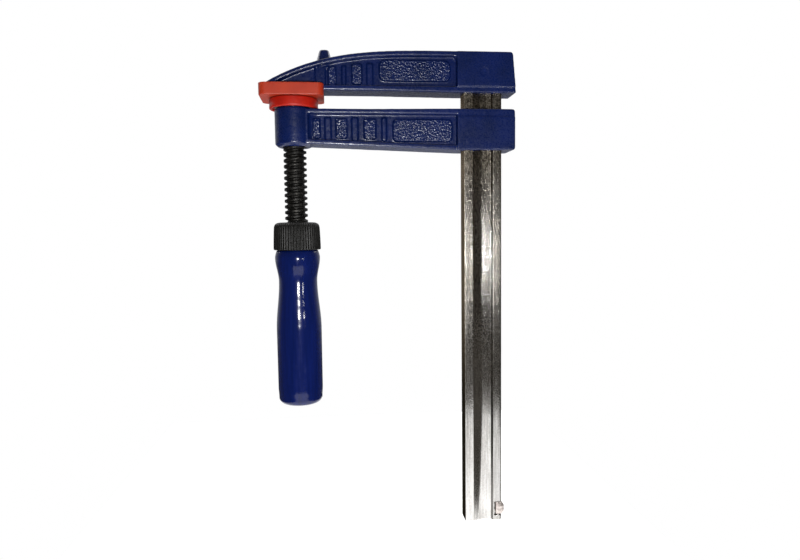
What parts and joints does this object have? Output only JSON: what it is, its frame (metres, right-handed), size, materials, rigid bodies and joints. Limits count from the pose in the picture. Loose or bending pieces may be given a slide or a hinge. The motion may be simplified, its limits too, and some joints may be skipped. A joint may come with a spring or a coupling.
{
  "type": "f clamp",
  "caption": "Screw-operated F clamp: profiled steel rail, cast fixed and sliding jaws, threaded spindle with turned handle and swivelling pressure pad, soft plastic caps on both clamping faces.",
  "frame": {"origin": "centre of the fixed jaw's clamping face, on the spindle's axis", "axes": "+X from the spindle to the rail, +Y through the thickness, +Z along the rail from its free end to the fixed jaw"},
  "size_m": [0.1789, 0.0338, 0.3429],
  "materials": {
    "rail_steel": "plated cold-drawn steel",
    "lug_steel": "bright staked steel",
    "blue_paint": "gloss paint on a malleable casting",
    "jaw_cap_red": "soft moulded plastic",
    "pad_steel": "pressed steel",
    "pad_cap_red": "soft moulded plastic",
    "black_oxide": "black oxide, oiled",
    "black_plastic": "moulded plastic",
    "blue_lacquer": "gloss lacquered turned wood"
  },
  "bodies": {
    "frame": {"rail": "rail_steel", "stop_lug": "lug_steel", "fixed_jaw": "blue_paint", "jaw_pin": "blue_paint", "fixed_jaw_cap": "jaw_cap_red"},
    "pad": {"pressure_pad": "pad_steel", "pad_ring": "pad_steel", "pressure_pad_cap": "pad_cap_red"},
    "spindle": {"spindle": "black_oxide", "grip_collar": "black_plastic", "handle": "blue_lacquer"},
    "sliding_jaw": {"sliding_jaw": "blue_paint"}
  },
  "joints": [
    {"name": "jaw_opening", "type": "slide", "parent": "frame", "child": "pad", "axis": [0, 0, -1], "range_m": [0, 0.205]},
    {"name": "spindle_turn", "type": "hinge", "parent": "pad", "child": "spindle", "pos_m": [0, 0, 0], "axis": [0, 0, 1], "range_deg": [0, 4500]},
    {"name": "screw_feed", "type": "slide", "parent": "pad", "child": "sliding_jaw", "axis": [0, 0, -1], "range_m": [0, 0.05]}
  ],
  "couplings": [
    {"joint": "spindle_turn", "follows": "screw_feed", "rad_per_m": 1570.8}
  ]
}
